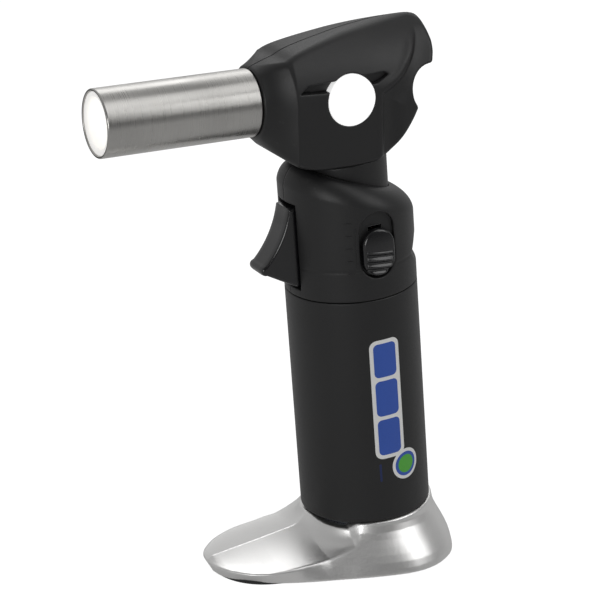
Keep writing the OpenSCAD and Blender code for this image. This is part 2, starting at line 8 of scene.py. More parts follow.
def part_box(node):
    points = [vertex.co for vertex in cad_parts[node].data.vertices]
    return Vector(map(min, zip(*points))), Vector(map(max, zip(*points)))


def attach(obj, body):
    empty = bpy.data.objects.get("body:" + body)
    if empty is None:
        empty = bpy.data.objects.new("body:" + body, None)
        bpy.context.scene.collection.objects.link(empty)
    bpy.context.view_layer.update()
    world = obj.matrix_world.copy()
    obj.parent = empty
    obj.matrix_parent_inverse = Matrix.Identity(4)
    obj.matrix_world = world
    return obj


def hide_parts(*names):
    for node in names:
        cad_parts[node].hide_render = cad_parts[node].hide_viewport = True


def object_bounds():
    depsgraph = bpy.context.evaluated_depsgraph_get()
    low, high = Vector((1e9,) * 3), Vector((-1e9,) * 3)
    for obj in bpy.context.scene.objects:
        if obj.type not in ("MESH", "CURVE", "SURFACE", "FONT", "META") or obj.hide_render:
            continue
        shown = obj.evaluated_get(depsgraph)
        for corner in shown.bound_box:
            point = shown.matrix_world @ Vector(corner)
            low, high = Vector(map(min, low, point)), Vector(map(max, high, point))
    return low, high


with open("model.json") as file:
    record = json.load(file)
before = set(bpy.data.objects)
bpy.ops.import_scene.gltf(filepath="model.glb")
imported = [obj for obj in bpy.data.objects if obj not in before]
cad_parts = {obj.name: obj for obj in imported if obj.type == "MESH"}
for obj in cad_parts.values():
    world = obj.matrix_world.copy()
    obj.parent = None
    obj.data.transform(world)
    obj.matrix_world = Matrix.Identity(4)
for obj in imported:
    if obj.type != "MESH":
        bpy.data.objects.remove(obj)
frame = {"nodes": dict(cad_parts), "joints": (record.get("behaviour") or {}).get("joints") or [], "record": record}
cad_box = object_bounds()

# Shapes are drawn in millimetres above the body's datum, and placed by the frame
MM = 0.001
record = frame["record"]
mount = {m["name"]: m for m in record["mounts"]}
axis_of = {j["name"]: Vector(j["axis"]) for j in frame["joints"]}
BARREL_Z = 144.5
LIFT = mount["flame_tube"]["pos_m"][2] / MM - BARREL_Z
SLIDE_AXIS = axis_of["safety_slide"]
LEAN = math.atan2(-SLIDE_AXIS[0], SLIDE_AXIS[2])
COS, SIN = math.cos(LEAN), math.sin(LEAN)
BARREL_R = mount["flame_tube"]["dims"]["r_mm"]
HOLE_R = mount["peg_hole"]["dims"]["r_mm"]
HOLE_X = mount["peg_hole"]["pos_m"][0] / MM
HOLE_Z = mount["peg_hole"]["pos_m"][2] / MM - LIFT
MOUTH_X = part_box("barrel_tube")[0][0] / MM
BODY_R = 20.0
SEAM = 85.5
RIM = 13.4
SLIDE_S = 100.2
RECESS_S = 102.4
# What the shells share: their wall, the lap at the mid-plane, and the screws that clamp them
WALL = 2.2
LAP = 0.03
SCREW_R = 1.15
SCREW_WELL_R = 2.05
SCREW_END_Y = 6
SCREW_WELL_Y = 5
# Pivots in the body's frame
TRIGGER_U, TRIGGER_S = -15.0, 110.5
WHEEL_U, WHEEL_S = 11.5, 95.1


# ---------- distance fields ----------

def length(*parts):
    return np.sqrt(sum(p * p for p in parts))


def meet(a, b, r=0.3):
    """Where two solids overlap, with edges rounded by r."""
    return np.minimum(-r, np.maximum(a, b)) + length(np.maximum(a + r, 0), np.maximum(b + r, 0))


def join(a, b, r=0.3):
    """Two solids together, with inner corners rounded by r."""
    return np.maximum(r, np.minimum(a, b)) - length(np.maximum(r - a, 0), np.maximum(r - b, 0))


def cut(a, b, r=0.3):
    return meet(a, -b, r)


def ramp(v, low, high):
    t = np.clip((v - low) / (high - low), 0, 1)
    return t * t * (3 - 2 * t)


def rod(a, b, r):
    return length(a, b) - r


def slab(v, low, high):
    return np.maximum(low - v, v - high)


def to_body(x, z):
    """From the torch's frame to the body's own frame."""
    return x * COS + z * SIN, z * COS - x * SIN


def from_body(co):
    out = co.copy()
    out[:, 0] = co[:, 0] * COS - co[:, 2] * SIN
    out[:, 2] = co[:, 0] * SIN + co[:, 2] * COS
    return out


def curve(points, steps=6):
    """Catmull-Rom curve through the points."""
    p = np.array(points, float)
    ends = np.vstack([2 * p[0] - p[1], p, 2 * p[-1] - p[-2]])
    out = []
    for i in range(len(p) - 1):
        a, b, c, d = ends[i:i + 4]
        for k in range(steps):
            t = k / steps
            out.append(0.5 * (2 * b + (c - a) * t + (2 * a - 5 * b + 4 * c - d) * t ** 2
                              + (3 * b - a - 3 * c + d) * t ** 3))
    return np.vstack(out + [p[-1]])


def arc(cx, cy, r, start, end, steps):
    a = np.radians(np.linspace(start, end, steps + 1))
    return np.stack([cx + r * np.cos(a), cy + r * np.sin(a)], 1)


class Outline:
    """Signed distance of a closed outline, tabulated once."""

    def __init__(self, points, cell=0.12, margin=5.0):
        p = np.array(points, float)
        p = p[length(*(p - np.roll(p, 1, 0)).T) > 1e-6]
        self.low, self.cell = p.min(0) - margin, cell
        n = np.ceil((p.max(0) + margin - self.low) / cell).astype(int) + 1
        x = self.low[0] + cell * np.arange(n[0])[:, None]
        y = self.low[1] + cell * np.arange(n[1])[None, :]
        best, inside = np.full(n, 1e9), np.zeros(n, bool)
        for a, b in zip(p, np.roll(p, -1, 0)):
            e = b - a
            t = np.clip(((x - a[0]) * e[0] + (y - a[1]) * e[1]) / (e @ e), 0, 1)
            best = np.minimum(best, (x - a[0] - t * e[0]) ** 2 + (y - a[1] - t * e[1]) ** 2)
            if a[1] != b[1]:
                inside ^= ((a[1] > y) != (b[1] > y)) & (x < a[0] + (y - a[1]) * e[0] / e[1])
        self.table = np.where(inside, -1, 1) * np.sqrt(best)

    def __call__(self, x, y):
        top = np.array(self.table.shape) - 1.001
        i = np.clip((x - self.low[0]) / self.cell, 0, top[0])
        j = np.clip((y - self.low[1]) / self.cell, 0, top[1])
        a, b = i.astype(int), j.astype(int)
        s, t, table = i - a, j - b, self.table
        return ((1 - s) * ((1 - t) * table[a, b] + t * table[a, b + 1])
                + s * ((1 - t) * table[a + 1, b] + t * table[a + 1, b + 1]))


# ---------- meshes ----------

def add_mesh(name, co, faces, smooth=True):
    mesh = bpy.data.meshes.new(name)
    co = np.asarray(co, float) * MM
    sizes = [len(f) for f in faces]
    mesh.vertices.add(len(co))
    mesh.vertices.foreach_set("co", co.astype(np.float32).ravel())
    mesh.loops.add(sum(sizes))
    mesh.loops.foreach_set("vertex_index", np.concatenate([np.asarray(f) for f in faces]).astype(np.int32))
    mesh.polygons.add(len(faces))
    starts = np.concatenate([[0], np.cumsum(sizes)[:-1]]).astype(np.int32)
    mesh.polygons.foreach_set("loop_start", starts)
    mesh.update(calc_edges=True)
    mesh.validate()
    if smooth:
        mesh.shade_smooth()
    thing = bpy.data.objects.new(name, mesh)
    bpy.context.scene.collection.objects.link(thing)
    return thing


def surface(name, field, low, high, step, body=False):
    """The surface where field is zero, as a mesh of quads. body: drawn in the body's frame."""
    low = np.array(low, float)
    count = np.ceil((np.array(high) - low) / step).astype(int) + 1
    sides = [low[k] + step * np.arange(count[k]) for k in range(3)]
    value = np.broadcast_to(field(*np.meshgrid(*sides, indexing="ij", sparse=True)), count)
    cells = count - 1
    total, hits, quads = np.zeros((cells.prod(), 3)), np.zeros(cells.prod()), []
    for k in range(3):
        one, two = (k + 1) % 3, (k + 2) % 3
        here = [slice(None)] * 3
        ahead = [slice(None)] * 3
        here[k], ahead[k] = slice(0, -1), slice(1, None)
        at = np.argwhere((value[tuple(here)] < 0) != (value[tuple(ahead)] < 0))
        keep = ((at[:, one] > 0) & (at[:, one] < cells[one])
                & (at[:, two] > 0) & (at[:, two] < cells[two]))
        at = at[keep]
        nxt = at.copy()
        nxt[:, k] += 1
        a, b = value[tuple(at.T)], value[tuple(nxt.T)]
        point = at.astype(float)
        point[:, k] += a / (a - b)
        ids = []
        for d1, d2 in ((0, 0), (1, 0), (1, 1), (0, 1)):
            c = at.copy()
            c[:, one] -= d1
            c[:, two] -= d2
            ids.append((c[:, 0] * cells[1] + c[:, 1]) * cells[2] + c[:, 2])
        ids = np.stack(ids, 1)
        for c in ids.T:
            hits += np.bincount(c, minlength=len(hits))
            for m in range(3):
                total[:, m] += np.bincount(c, weights=point[:, m], minlength=len(hits))
        ids[a > 0] = ids[a > 0][:, ::-1]
        quads.append(ids)
    used = hits > 0
    index = np.cumsum(used) - 1
    co = total[used] / hits[used][:, None] * step + low
    # Settle the points on the surface
    h = step * 0.3
    for _ in range(2):
        x, y, z = co.T
        d = field(x, y, z)
        g = np.stack([field(x + h, y, z) - field(x - h, y, z), field(x, y + h, z) - field(x, y - h, z),
                      field(x, y, z + h) - field(x, y, z - h)], 1) / (2 * h)
        move = d[:, None] * g / np.maximum((g * g).sum(1), 0.2)[:, None]
        co = co - np.clip(move, -step / 3, step / 3)
    if body:
        co = from_body(co)
    co[:, 2] += LIFT
    return add_mesh(name, co, list(index[np.vstack(quads)]))


def rounded(points, radii, steps=4):
    """A closed profile with its corners rounded, and loops beside each corner to keep the flats flat."""
    out = []
    n = len(points)
    for i in range(n):
        p, a, b = (np.array(points[j % n], float) for j in (i, i - 1, i + 1))
        r = radii[i] if i < len(radii) else 0
        u, v = (a - p) / length(*(a - p)), (b - p) / length(*(b - p))
        half = math.acos(np.clip(u @ v, -1, 1)) / 2
        if r <= 0:
            out.append(p)
            continue
        t = r / math.tan(half)
        mid = p + (u + v) / length(*(u + v)) * r / math.sin(half)
        s, e = p + u * t, p + v * t
        out.append(s + u * 0.15)
        for k in range(steps + 1):
            w = k / steps
            d = (s - mid) * (1 - w) + (e - mid) * w
            out.append(mid + d / length(*d) * r)
        out.append(e + v * 0.15)
    return np.array(out)


def lathe(name, profile, place, turns=160):
    """A ring whose closed profile is (radius, height); place turns its points into the torch's frame."""
    p = np.asarray(profile, float)
    if (np.roll(p, -1, 0)[:, 1] * p[:, 0] - p[:, 1] * np.roll(p, -1, 0)[:, 0]).sum() < 0:
        p = p[::-1]
    a = np.linspace(0, 2 * np.pi, turns, endpoint=False)
    co = np.stack([p[None, :, 0] * np.cos(a)[:, None], p[None, :, 0] * np.sin(a)[:, None],
                   np.broadcast_to(p[:, 1], (turns, len(p)))], 2).reshape(-1, 3)
    i, k = np.meshgrid(np.arange(turns), np.arange(len(p)), indexing="ij")
    j, m = (i + 1) % turns, (k + 1) % len(p)
    n = len(p)
    faces = np.stack([i * n + k, j * n + k, j * n + m, i * n + m], 2).reshape(-1, 4)
    return add_mesh(name, place(co), list(faces))


def on_body(co):
    out = from_body(co)
    out[:, 2] += LIFT
    return out


def on_barrel(co):
    """Radius and height become a ring round the barrel's axis, with height running along X."""
    return np.stack([co[:, 2], co[:, 0], co[:, 1] + BARREL_Z + LIFT], 1)


# ---------- head ----------

head_outline = Outline(curve([
    (-45, 154.2), (-38.8, 155.2), (-34.6, 156.6), (-31.5, 157.6), (-28, 159.2), (-22.7, 160.7),
    (-16.7, 162.1), (-10.6, 163.4), (-4.2, 164.4), (2, 165.25), (6.2, 165.7), (9.2, 166), (11.3, 166.2),
    (12.9, 166), (14.2, 165.5), (15.3, 164.7), (16.2, 163.4), (16.7, 161.7), (17.2, 159.5),
    (17.5, 157.5), (17.3, 155.1), (16.8, 153.3), (16.1, 151), (14.9, 146.9), (13, 142.6), (11, 139.5),
    (9.4, 136.6), (7.5, 133.8), (5.3, 131.2), (2.7, 128.8), (-0.2, 126.8), (-3.5, 125.7), (-8.6, 124.8),
    (-13.7, 124.2), (-18.7, 124.2), (-23.7, 125.1), (-28.8, 126.7), (-32.6, 129), (-36.5, 132),
    (-39.5, 134.6), (-43.4, 139.9)], 5))
crease_outline = Outline(np.vstack([
    curve([(11.9, 168), (11.6, 163), (10.7, 159.8), (9.2, 156.4), (7, 153.3), (2.9, 149.1), (-3, 146)]),
    [(-3, 118), (40, 118), (40, 168)]]))
slot_outline = Outline([(-29, 148.6), (-26.5, 150.6), (-1.5, 151.9), (0, 151), (-4, 149), (-21, 148.2)])
HEAD_BOLTS = [(6, 158.5), (1.5, 136.6), (-26, 156.4)]
NOSE_X = -39.0
FACET_X = -30.0
NOTCH_X, NOTCH_Z, NOTCH_R = 15.8, 144.6, 7.2
SLEEVE_WALL = 0.5
NECK_BORE_R = 11.25


def head_form(x, y, z):
    behind = -crease_outline(x, z)
    # A shallow step behind the crease, and a raised bead along it
    step = 1.1 * ramp(behind, 0, 1.6) * (1 - 0.8 * ramp(behind, 3, 9))
    bead = 0.4 * np.exp(-((behind + 0.9) / 1.3) ** 2)
    inset = (step - bead) * ramp(x, -7, 2) * ramp(np.abs(y), 4, 9)
    narrow = np.interp(x, [-39, -30], [2.8, 0]) + 0.0625 * (x + 4 + length(x + 4, 4))
    side = np.maximum(length(np.abs(y) + 11 + narrow, np.maximum(z - BARREL_Z, 0)) - 25,
                      length(y, np.minimum(z - 142, 0)) - 21.5) + inset
    facet = FACET_X - 0.0085 * np.maximum(z - 143, 0) ** 2
    t = np.clip((x - NOSE_X) / (facet - NOSE_X), 0, 1)
    side = (1 - t) * rod(y, z - BARREL_Z, 11) + t * side
    form = meet(meet(head_outline(x, z), side, 1.5), NOSE_X - x, 0.5)
    return cut(form, rod(x - NOTCH_X, z - NOTCH_Z, NOTCH_R), 0.7)


def screw_hole(a, y, b, side):
    """A hole across the mid-plane, with a well for the screw's head on the +Y side."""
    reach = np.maximum(rod(a, b, SCREW_R), -y - SCREW_END_Y)
    if side > 0:
        reach = np.minimum(reach, np.maximum(rod(a, b, SCREW_WELL_R), SCREW_WELL_Y - y))
    return reach


def head_shell(side):
    def field(x, y, z):
        form = head_form(x, y, z)
        hollow = np.maximum.reduce(np.broadcast_arrays(
            form + WALL, np.abs(y) - 10.4, -31.5 - x))
        d = cut(form, hollow, 0.4)
        for bx, bz in HEAD_BOLTS:
            d = join(d, np.maximum(form + 0.6, rod(x - bx, z - bz, 3.0)), 0.3)
        d = cut(d, np.maximum(slot_outline(x, z), 11.4 - np.abs(y)), 0.35)
        d = cut(d, rod(x - HOLE_X, z - HOLE_Z, HOLE_R + SLEEVE_WALL), 0.2)
        u, s = to_body(x, z)
        d = cut(d, np.maximum(rod(u, y, NECK_BORE_R), s - 129), 0.2)
        d = cut(d, np.maximum(rod(y, z - BARREL_Z, BARREL_R - 0.45), x + 20), 0.25)
        for bx, bz in HEAD_BOLTS:
            d = cut(d, screw_hole(x - bx, y, z - bz, side), 0.15)
        return meet(d, LAP - side * y, 0.22)
    return field


def hole_liner(x, y, z):
    r = length(x - HOLE_X, z - HOLE_Z)
    return meet(slab(r, HOLE_R, HOLE_R + SLEEVE_WALL), head_form(x, y, z) - 0.2, 0.3)


def neck_collar(x, y, z):
    u, s = to_body(x, z)
    form = head_form(x, y, z)
    seen = meet(np.maximum(slab(s, 114.25, 136), -form), rod(u, y, 13), 0.3)
    spigot = meet(rod(u, y, 11.15), slab(s, 108, 128.9), 0.4)
    lugs = np.maximum.reduce(np.broadcast_arrays(np.abs(u) - 4, np.abs(y) - 15.4, np.abs(s - 113.85) - 0.75))
    return cut(join(join(seen, spigot, 0.2), lugs, 0.3), rod(u, y, 9), 0.3)


# ---------- grip ----------

BODY_BOLTS = [(15.3, 105.6), (-8, 98)]


def stadium(a, b, half_w, half_h):
    return length(a, np.maximum(np.abs(b) - (half_h - half_w), 0)) - half_w


def grip_form(u, y, s):
    r = length(u, y)
    front = (1 - u / np.maximum(r, 0.1)) / 2
    a, b, p = 7.0 - 3.0 * front, 5.26 + 1.34 * front, 2.0 - 0.55 * front
    side = (r - BODY_R) / a + 1
    top = (s - 119.3 + 0.364 * u + 0.02 * np.maximum(u, 0)) * 0.94 / b + 1
    side, top, p = np.broadcast_arrays(side, top, p)
    power = (np.maximum(side, 1e-4) ** p + np.maximum(top, 1e-4) ** p) ** (1 / p)
    return (np.where((side > 0) & (top > 0), power, np.maximum(side, top)) - 1) * np.minimum(a, b)


def grip_shell(side):
    def field(u, y, s):
        form = grip_form(u, y, s)
        form = meet(form, SEAM + 0.12 - s, 0.35)
        hollow = np.maximum(grip_form(u, y, s) + WALL, 80 - s)
        d = cut(form, hollow, 0.3)
        inner = form + 0.6
        for bu, bs in BODY_BOLTS:
            d = join(d, np.maximum(inner, rod(u - bu, s - bs, 2.4)), 0.3)
        r, turned = length(u, y), np.degrees(np.abs(np.arctan2(y, u)))
        # The thumb groove is turned round the rear, and a rib behind it keeps the wall whole
        ring = np.maximum.reduce(np.broadcast_arrays(
            16.2 - r, turned * 0.3 - 15.6, np.abs(s - WHEEL_S) - 6, inner))
        d = join(d, ring, 0.3)
        rib = np.maximum.reduce(np.broadcast_arrays(
            slab(u, -18, -12.8), slab(side * y, 5.5, 7.5), slab(s, 107.5, 113.5), inner))
        d = np.minimum(d, rib)
        if side < 0:
            block = np.maximum.reduce(np.broadcast_arrays(np.abs(u) - 7.5, np.abs(s - RECESS_S) - 12,
                                                          slab(y, -19.4, -15.8), inner))
            d = join(d, block, 0.3)
            d = cut(d, np.maximum(stadium(u, s - RECESS_S, 5.7, 10.2), y + 18), 0.45)
            d = cut(d, np.maximum.reduce(np.broadcast_arrays(
                np.abs(u) - 2.2, np.abs(s - RECESS_S) - 5.6, y + 10)), 0.1)
        d = cut(d, np.maximum(rod(u, y, 13.06), 114 - s), 0.4)
        d = cut(d, np.maximum(rod(u, y, 11.26), 105 - s), 0.2)
        d = cut(d, np.maximum.reduce(np.broadcast_arrays(np.abs(y) - 5.2, u + 12, slab(s, 88, 114.6))), 0.45)
        groove = 18.1 + 1.9 * ramp(turned, 32, 50) + np.maximum((s - WHEEL_S) * 0.44, (WHEEL_S - s) * 0.51)
        d = cut(d, (groove - r) * 0.9, 0.35)
        d = cut(d, np.maximum(rod(u - WHEEL_U, y, 7.5), np.abs(s - WHEEL_S) - 2.05), 0.2)
        pin = np.maximum(rod(u - TRIGGER_U, s - TRIGGER_S, 1.02), np.abs(y) - 7)
        d = cut(d, pin, 0.1)
        for bu, bs in BODY_BOLTS:
            d = cut(d, screw_hole(u - bu, y, s - bs, side), 0.15)
        return meet(d, LAP - side * y, 0.2)
    return field


# ---------- controls ----------

trigger_outline = Outline(np.vstack([
    [(-13.2, 112.3), (-13.2, 108.4), (-15.6, 107.2), (-15.6, 89.6), (-19.8, 88.9), (-29.2, 94.6)],
    arc(-29.4, 96.1, 1.5, 250, 130, 6),
    arc(-50.2, 119.3, 30, -46, -11.5, 16),
    [(-18, 113.9)]]), margin=3)
arm_outline = Outline([(-15.8, 107.4), (-13.3, 109), (-12.5, 104.1), (-12.2, 103.7), (-10.3, 103.75),
                       (-9.6, 103.02), (-10.3, 102.3), (-12.6, 102.2), (-14.2, 103.4)], cell=0.08, margin=3)
nose_outline = Outline([(-16.5, 89.65), (-16.5, 92.3), (-14, 92.05), (-13.1, 91.7), (-12.8, 90.85),
                        (-13.1, 90.0), (-14, 89.65)], cell=0.08, margin=3)


def trigger(u, y, s):
    blade = trigger_outline(u, s)
    # The face rolls over towards its sides
    roll = 0.25 * np.clip((np.abs(y) - 2.4) / 2.3, 0, 1) ** 2 * ramp(-u, 16.5, 19.5)
    d = meet(blade + roll - 0.15, np.abs(y) - 4.7, 0.7)
    d = np.minimum(d, meet(rod(u - TRIGGER_U, s - TRIGGER_S, 2.2), np.abs(y) - 4.7, 0.4))
    d = join(d, meet(arm_outline(u, s), np.abs(y) - 1.8, 0.2), 0.2)
    d = join(d, meet(nose_outline(u, s), np.abs(y) - 2.4, 0.2), 0.3)
    return cut(d, rod(u - TRIGGER_U, s - TRIGGER_S, 1.06), 0.1)


def lock_button(u, y, s):
    low = s - SLIDE_S
    crown = length(u, y) - (BODY_R + 1.25) + 0.9 * np.clip(np.abs(low) / 7.3, 0, 1) ** 2
    tilt = low + 0.14 * u
    grooves = 0.6 * (0.5 - 0.5 * np.cos(2 * np.pi * (tilt + 6.6) / 2.2)) ** 0.8
    grooves = grooves * ramp(-tilt, -0.9, -0.3) * ramp(tilt, -6.9, -6.2) * ramp(-np.abs(u), -4.6, -4.0)
    cap = meet(stadium(u, low, 5.15, 7.3), np.maximum(crown + grooves, y + 18.05), 0.75)
    stem = np.maximum.reduce(np.broadcast_arrays(np.abs(u) - 1.8, np.abs(low) - 2.8, slab(y, -18.4, -14.4)))
    return np.minimum(cap, stem)


def flame_wheel(u, y, s):
    r, a = length(u - WHEEL_U, y), np.arctan2(y, u - WHEEL_U)
    teeth = 0.32 * (0.5 - 0.5 * np.cos(28 * a))
    rim = meet(r - 7.1 + teeth, np.abs(s - WHEEL_S) - 1.8, 0.3)
    return cut(rim, r - 3.06, 0.15)


# ---------- foot, in true height above the floor ----------

base_half = curve([
    (25.6, 0), (25.2, 6), (23.5, 11.8), (18.9, 20.6), (12.6, 26), (6.4, 28.5), (-0.4, 28.9), (-11.2, 26.6),
    (-21.4, 23.4), (-30, 20.6), (-38, 17.2), (-44.5, 13.2), (-49.5, 8.4), (-52.2, 4), (-53, 0)], 5)
base_outline = Outline(np.vstack([base_half, (base_half * [1, -1])[-2:0:-1]]), cell=0.2)
# The edge where the toe's side turns into its top, and the ridge along the middle
CREST_X = [-55.6, -54.6, -52, -47, -42, -38, -31, -23, -14.5, -10.6, -7.8, -5]
CREST_Y = [0.5, 5.5, 10.2, 14.5, 17, 18.1, 18.5, 18.9, 19.8, 20.8, 20.9, 21]
CREST_Z = [4.3, 4.3, 4.1, 4.0, 4.2, 4.6, 5.2, 6.0, 8.3, 12.5, 14.6, 24]
# How far the foot's side has turned from the sole's outline into the body's round, by height
SHARE_Z = [0, 2, 4, 6, 8, 10, 12, 14, 16.5]
SHARE = [0, 0.08, 0.19, 0.34, 0.51, 0.69, 0.85, 0.95, 1]
# How far the toe's side leans in (out where negative), from the tip back
LEAN_IN_X = [-55, -54, -47, -42, -38, -31, -23, -14]
LEAN_IN = [-2.4, -2.6, -2.6, -2.0, -1.0, 1.4, 3.4, 5.0]
RIDGE_X = [-56, -53.5, -47.6, -38.5, -31, -23.8, -16]
RIDGE_Z = [4.6, 5.9, 6.8, 8.1, 9.3, 10.2, 11.2]


def base_foot(x, y, z):
    floor = z + LIFT
    u, s = to_body(x, z)
    r = length(u, y)
    base = base_outline(x, y)
    share = np.interp(floor, SHARE_Z, SHARE)
    heel = (1 - share) * base + share * (r - BODY_R - 0.6)
    lean_in = np.interp(x, LEAN_IN_X, LEAN_IN)
    high = np.interp(x, CREST_X, CREST_Z)
    toe = base + lean_in * np.clip(floor / high, 0, 1.3) ** 1.2
    side = toe + (heel - toe) * ramp(x, -27, -15)
    wide = np.interp(x, CREST_X, CREST_Y)
    across = np.clip(1 - np.abs(y) / wide, 0, 1)
    ridge = np.maximum(np.interp(x, RIDGE_X, RIDGE_Z) - high, 0)
    top = high + ridge * across ** 1.5 + 4.0 * np.exp(-np.maximum(r - 20.6, 0) / 1.7)
    d = meet(side, (floor - top) * 0.93, 0.7)
    d = meet(d, s - RIM, 0.45)
    d = meet(d, 0.3 - floor, 0.5)
    d = cut(d, np.maximum(r - 18.05, 5 - s), 0.2)
    d = cut(d, np.maximum(base + 3.2, floor - 1.2), 0.3)
    d = cut(d, rod(u - 9, y, 5.4), 0.4)
    for hole in (-9, 9):
        d = cut(d, np.maximum(rod(u + 8, y - hole, 2.7), s - 3), 0.2)
        d = cut(d, rod(u + 8, y - hole, 1.2), 0.1)
    return d


# ---------- marks: plain shapes only ----------

def patch(name, rows, rise, columns=24):
    """A thin label on the body. rows: (height, left, right), the last two as arc lengths from the -Y line."""
    rows = np.array(rows, float)
    t = np.linspace(0, 1, columns + 1)
    arc_at = rows[:, 1:2] + (rows[:, 2:3] - rows[:, 1:2]) * t
    s = np.broadcast_to(rows[:, :1], arc_at.shape)
    sheets = []
    for r in (BODY_R + rise, BODY_R - 0.1):
        a = arc_at / BODY_R
        sheets.append(np.stack([r * np.sin(a), -r * np.cos(a), s], 2).reshape(-1, 3))
    n, m = columns + 1, len(rows)
    index = np.arange(n * m).reshape(m, n)
    a, b, c, d = index[:-1, :-1], index[:-1, 1:], index[1:, 1:], index[1:, :-1]
    quads = np.stack([a, b, c, d], 2).reshape(-1, 4)
    rim = np.concatenate([index[0, :-1], index[:-1, -1], index[-1, :0:-1], index[:0:-1, 0]])
    nxt = np.roll(rim, -1)
    wall = np.stack([rim, rim + n * m, nxt + n * m, nxt], 1)
    faces = list(quads) + list(quads[:, ::-1] + n * m) + list(wall)
    thing = add_mesh(name, on_body(np.vstack(sheets)), faces)
    thing.data.set_sharp_from_angle(angle=math.radians(40))
    return thing


def rounded_rows(centre, half, low, high, r, steps=7):
    """Rows of an upright rectangle with round corners."""
    rows = []
    for sign, end in ((-1, low), (1, high)):
        for a in np.linspace(0, math.pi / 2, steps)[::sign]:
            w = half - r + r * math.cos(a)
            rows.append((end - sign * r + sign * r * math.sin(a), centre - w, centre + w))
    return rows


# ---------- materials ----------

def shader(name, base, rough, metal=0.0, vary=0.08, grain=900.0, bump=0.1, depth=0.00005, stretch=(1, 1, 1),
           coat=0.0, wear=0.0, aniso=0.0, glow=0.0, sheen=0.0):
    """A procedural finish: colour and roughness that vary, fine grain in relief, edges that have worn, and, where
    glow is given, a painted glow.
    """
    m = bpy.data.materials.new(name)
    m.use_nodes = True
    tree = m.node_tree
    new, link = tree.nodes.new, tree.links.new
    bsdf = tree.nodes["Principled BSDF"]
    bsdf.inputs["Metallic"].default_value = metal
    bsdf.inputs["Coat Weight"].default_value = coat
    bsdf.inputs["Coat Roughness"].default_value = 0.12
    bsdf.inputs["Anisotropic"].default_value = aniso
    bsdf.inputs["Sheen Weight"].default_value = sheen
    where = new("ShaderNodeTexCoord")
    scale = new("ShaderNodeMapping")
    scale.inputs["Scale"].default_value = stretch
    link(where.outputs["Object"], scale.inputs["Vector"])

    def noise(size, detail, source):
        n = new("ShaderNodeTexNoise")
        n.inputs["Scale"].default_value = size
        n.inputs["Detail"].default_value = detail
        link(source, n.inputs["Vector"])
        return n.outputs["Fac"]

    def spread(value, low, high):
        n = new("ShaderNodeMapRange")
        n.inputs["From Min"].default_value, n.inputs["From Max"].default_value = 0.3, 0.7
        n.inputs["To Min"].default_value, n.inputs["To Max"].default_value = low, high
        link(value, n.inputs["Value"])
        return n.outputs["Result"]

    cloud = noise(60, 3, where.outputs["Object"])
    fine = noise(grain, 4, scale.outputs["Vector"])
    tint = new("ShaderNodeMixRGB")
    tint.inputs["Color1"].default_value = [c * (1 - vary) for c in base] + [1]
    tint.inputs["Color2"].default_value = [min(1, c * (1 + vary)) for c in base] + [1]
    both = new("ShaderNodeMath")
    link(spread(cloud, 0, 0.5), both.inputs[0])
    link(spread(fine, 0, 0.5), both.inputs[1])
    link(both.outputs[0], tint.inputs["Fac"])
    colour = tint.outputs["Color"]
    if wear:
        edge = new("ShaderNodeNewGeometry")
        lit = new("ShaderNodeMapRange")
        lit.inputs["From Min"].default_value, lit.inputs["From Max"].default_value = 0.52, 0.6
        lit.inputs["To Max"].default_value = wear
        link(edge.outputs["Pointiness"], lit.inputs["Value"])
        rub = new("ShaderNodeMixRGB")
        rub.inputs["Color2"].default_value = [min(1, c * 2 + 0.03) for c in base] + [1]
        link(lit.outputs["Result"], rub.inputs["Fac"])
        link(colour, rub.inputs["Color1"])
        colour = rub.outputs["Color"]
    link(colour, bsdf.inputs["Base Color"])
    link(spread(fine, rough * 0.88, min(1, rough * 1.12)), bsdf.inputs["Roughness"])
    relief = new("ShaderNodeBump")
    relief.inputs["Strength"].default_value = bump
    relief.inputs["Distance"].default_value = depth
    link(fine, relief.inputs["Height"])
    link(relief.outputs["Normal"], bsdf.inputs["Normal"])
    # Painted glow: the surface gives off light of its own though it is no lamp
    if glow:
        bsdf.inputs["Emission Color"].default_value = (1, 1, 1, 1)
        bsdf.inputs["Emission Strength"].default_value = glow
    return m


